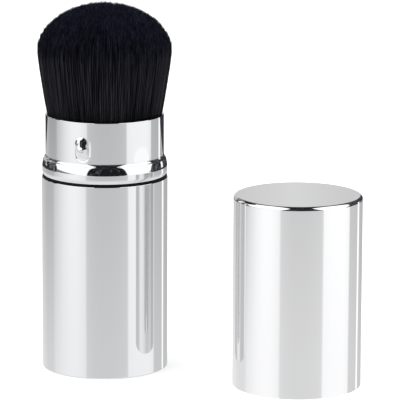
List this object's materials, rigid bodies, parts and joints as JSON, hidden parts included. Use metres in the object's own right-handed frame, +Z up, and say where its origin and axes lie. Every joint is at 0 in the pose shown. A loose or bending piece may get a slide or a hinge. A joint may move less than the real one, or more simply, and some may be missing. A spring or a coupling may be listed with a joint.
{
  "type": "retractable makeup brush",
  "caption": "Retractable powder brush: a polished round handle whose neck sleeve slides up over the domed black hair, with its polished cap standing beside it.",
  "frame": {"origin": "centre of the flat base of the handle, which stands on the table", "axes": "+Z up along the brush, +X to the picture's right, towards the cap, +Y away from the viewer"},
  "size_m": [0.0849, 0.0529, 0.0968],
  "materials": {
    "handle_metal": "drawn and mirror polished",
    "neck_metal": "drawn and mirror polished",
    "collar_metal": "turned and mirror polished",
    "cap_metal": "drawn and mirror polished",
    "black_plastic": "moulded, fine matt",
    "natural_plastic": "moulded, uncoloured",
    "screw_steel": "zinc plated",
    "ring_rubber": "smooth",
    "binding_metal": "plain sheet",
    "cured_glue": "cured, glossy",
    "hair": "fine black synthetic filaments"
  },
  "bodies": {
    "handle": {"body_shell": "handle_metal", "mouth_bushing": "black_plastic", "base_core": "natural_plastic", "stem": "natural_plastic", "lower_screw": "screw_steel", "tuft_cup": "black_plastic", "upper_screw": "screw_steel", "friction_ring": "ring_rubber", "binding_ring": "binding_metal", "glue_plug": "cured_glue", "bristle_tuft": "hair"},
    "sleeve": {"sleeve_tube": "neck_metal", "collar_ring": "collar_metal", "guide_ring": "black_plastic"},
    "cap": {"cap_shell": "cap_metal"}
  },
  "joints": [
    {"name": "sleeve_slide", "type": "slide", "parent": "handle", "child": "sleeve", "axis": [0, 0, 1], "range_m": [0, 0.0318], "deforming": ["bristle_tuft"]},
    {"name": "cap_lift", "type": "slide", "parent": "handle", "child": "cap", "axis": [0, 0, 1], "range_m": [0, 0.1]}
  ]
}
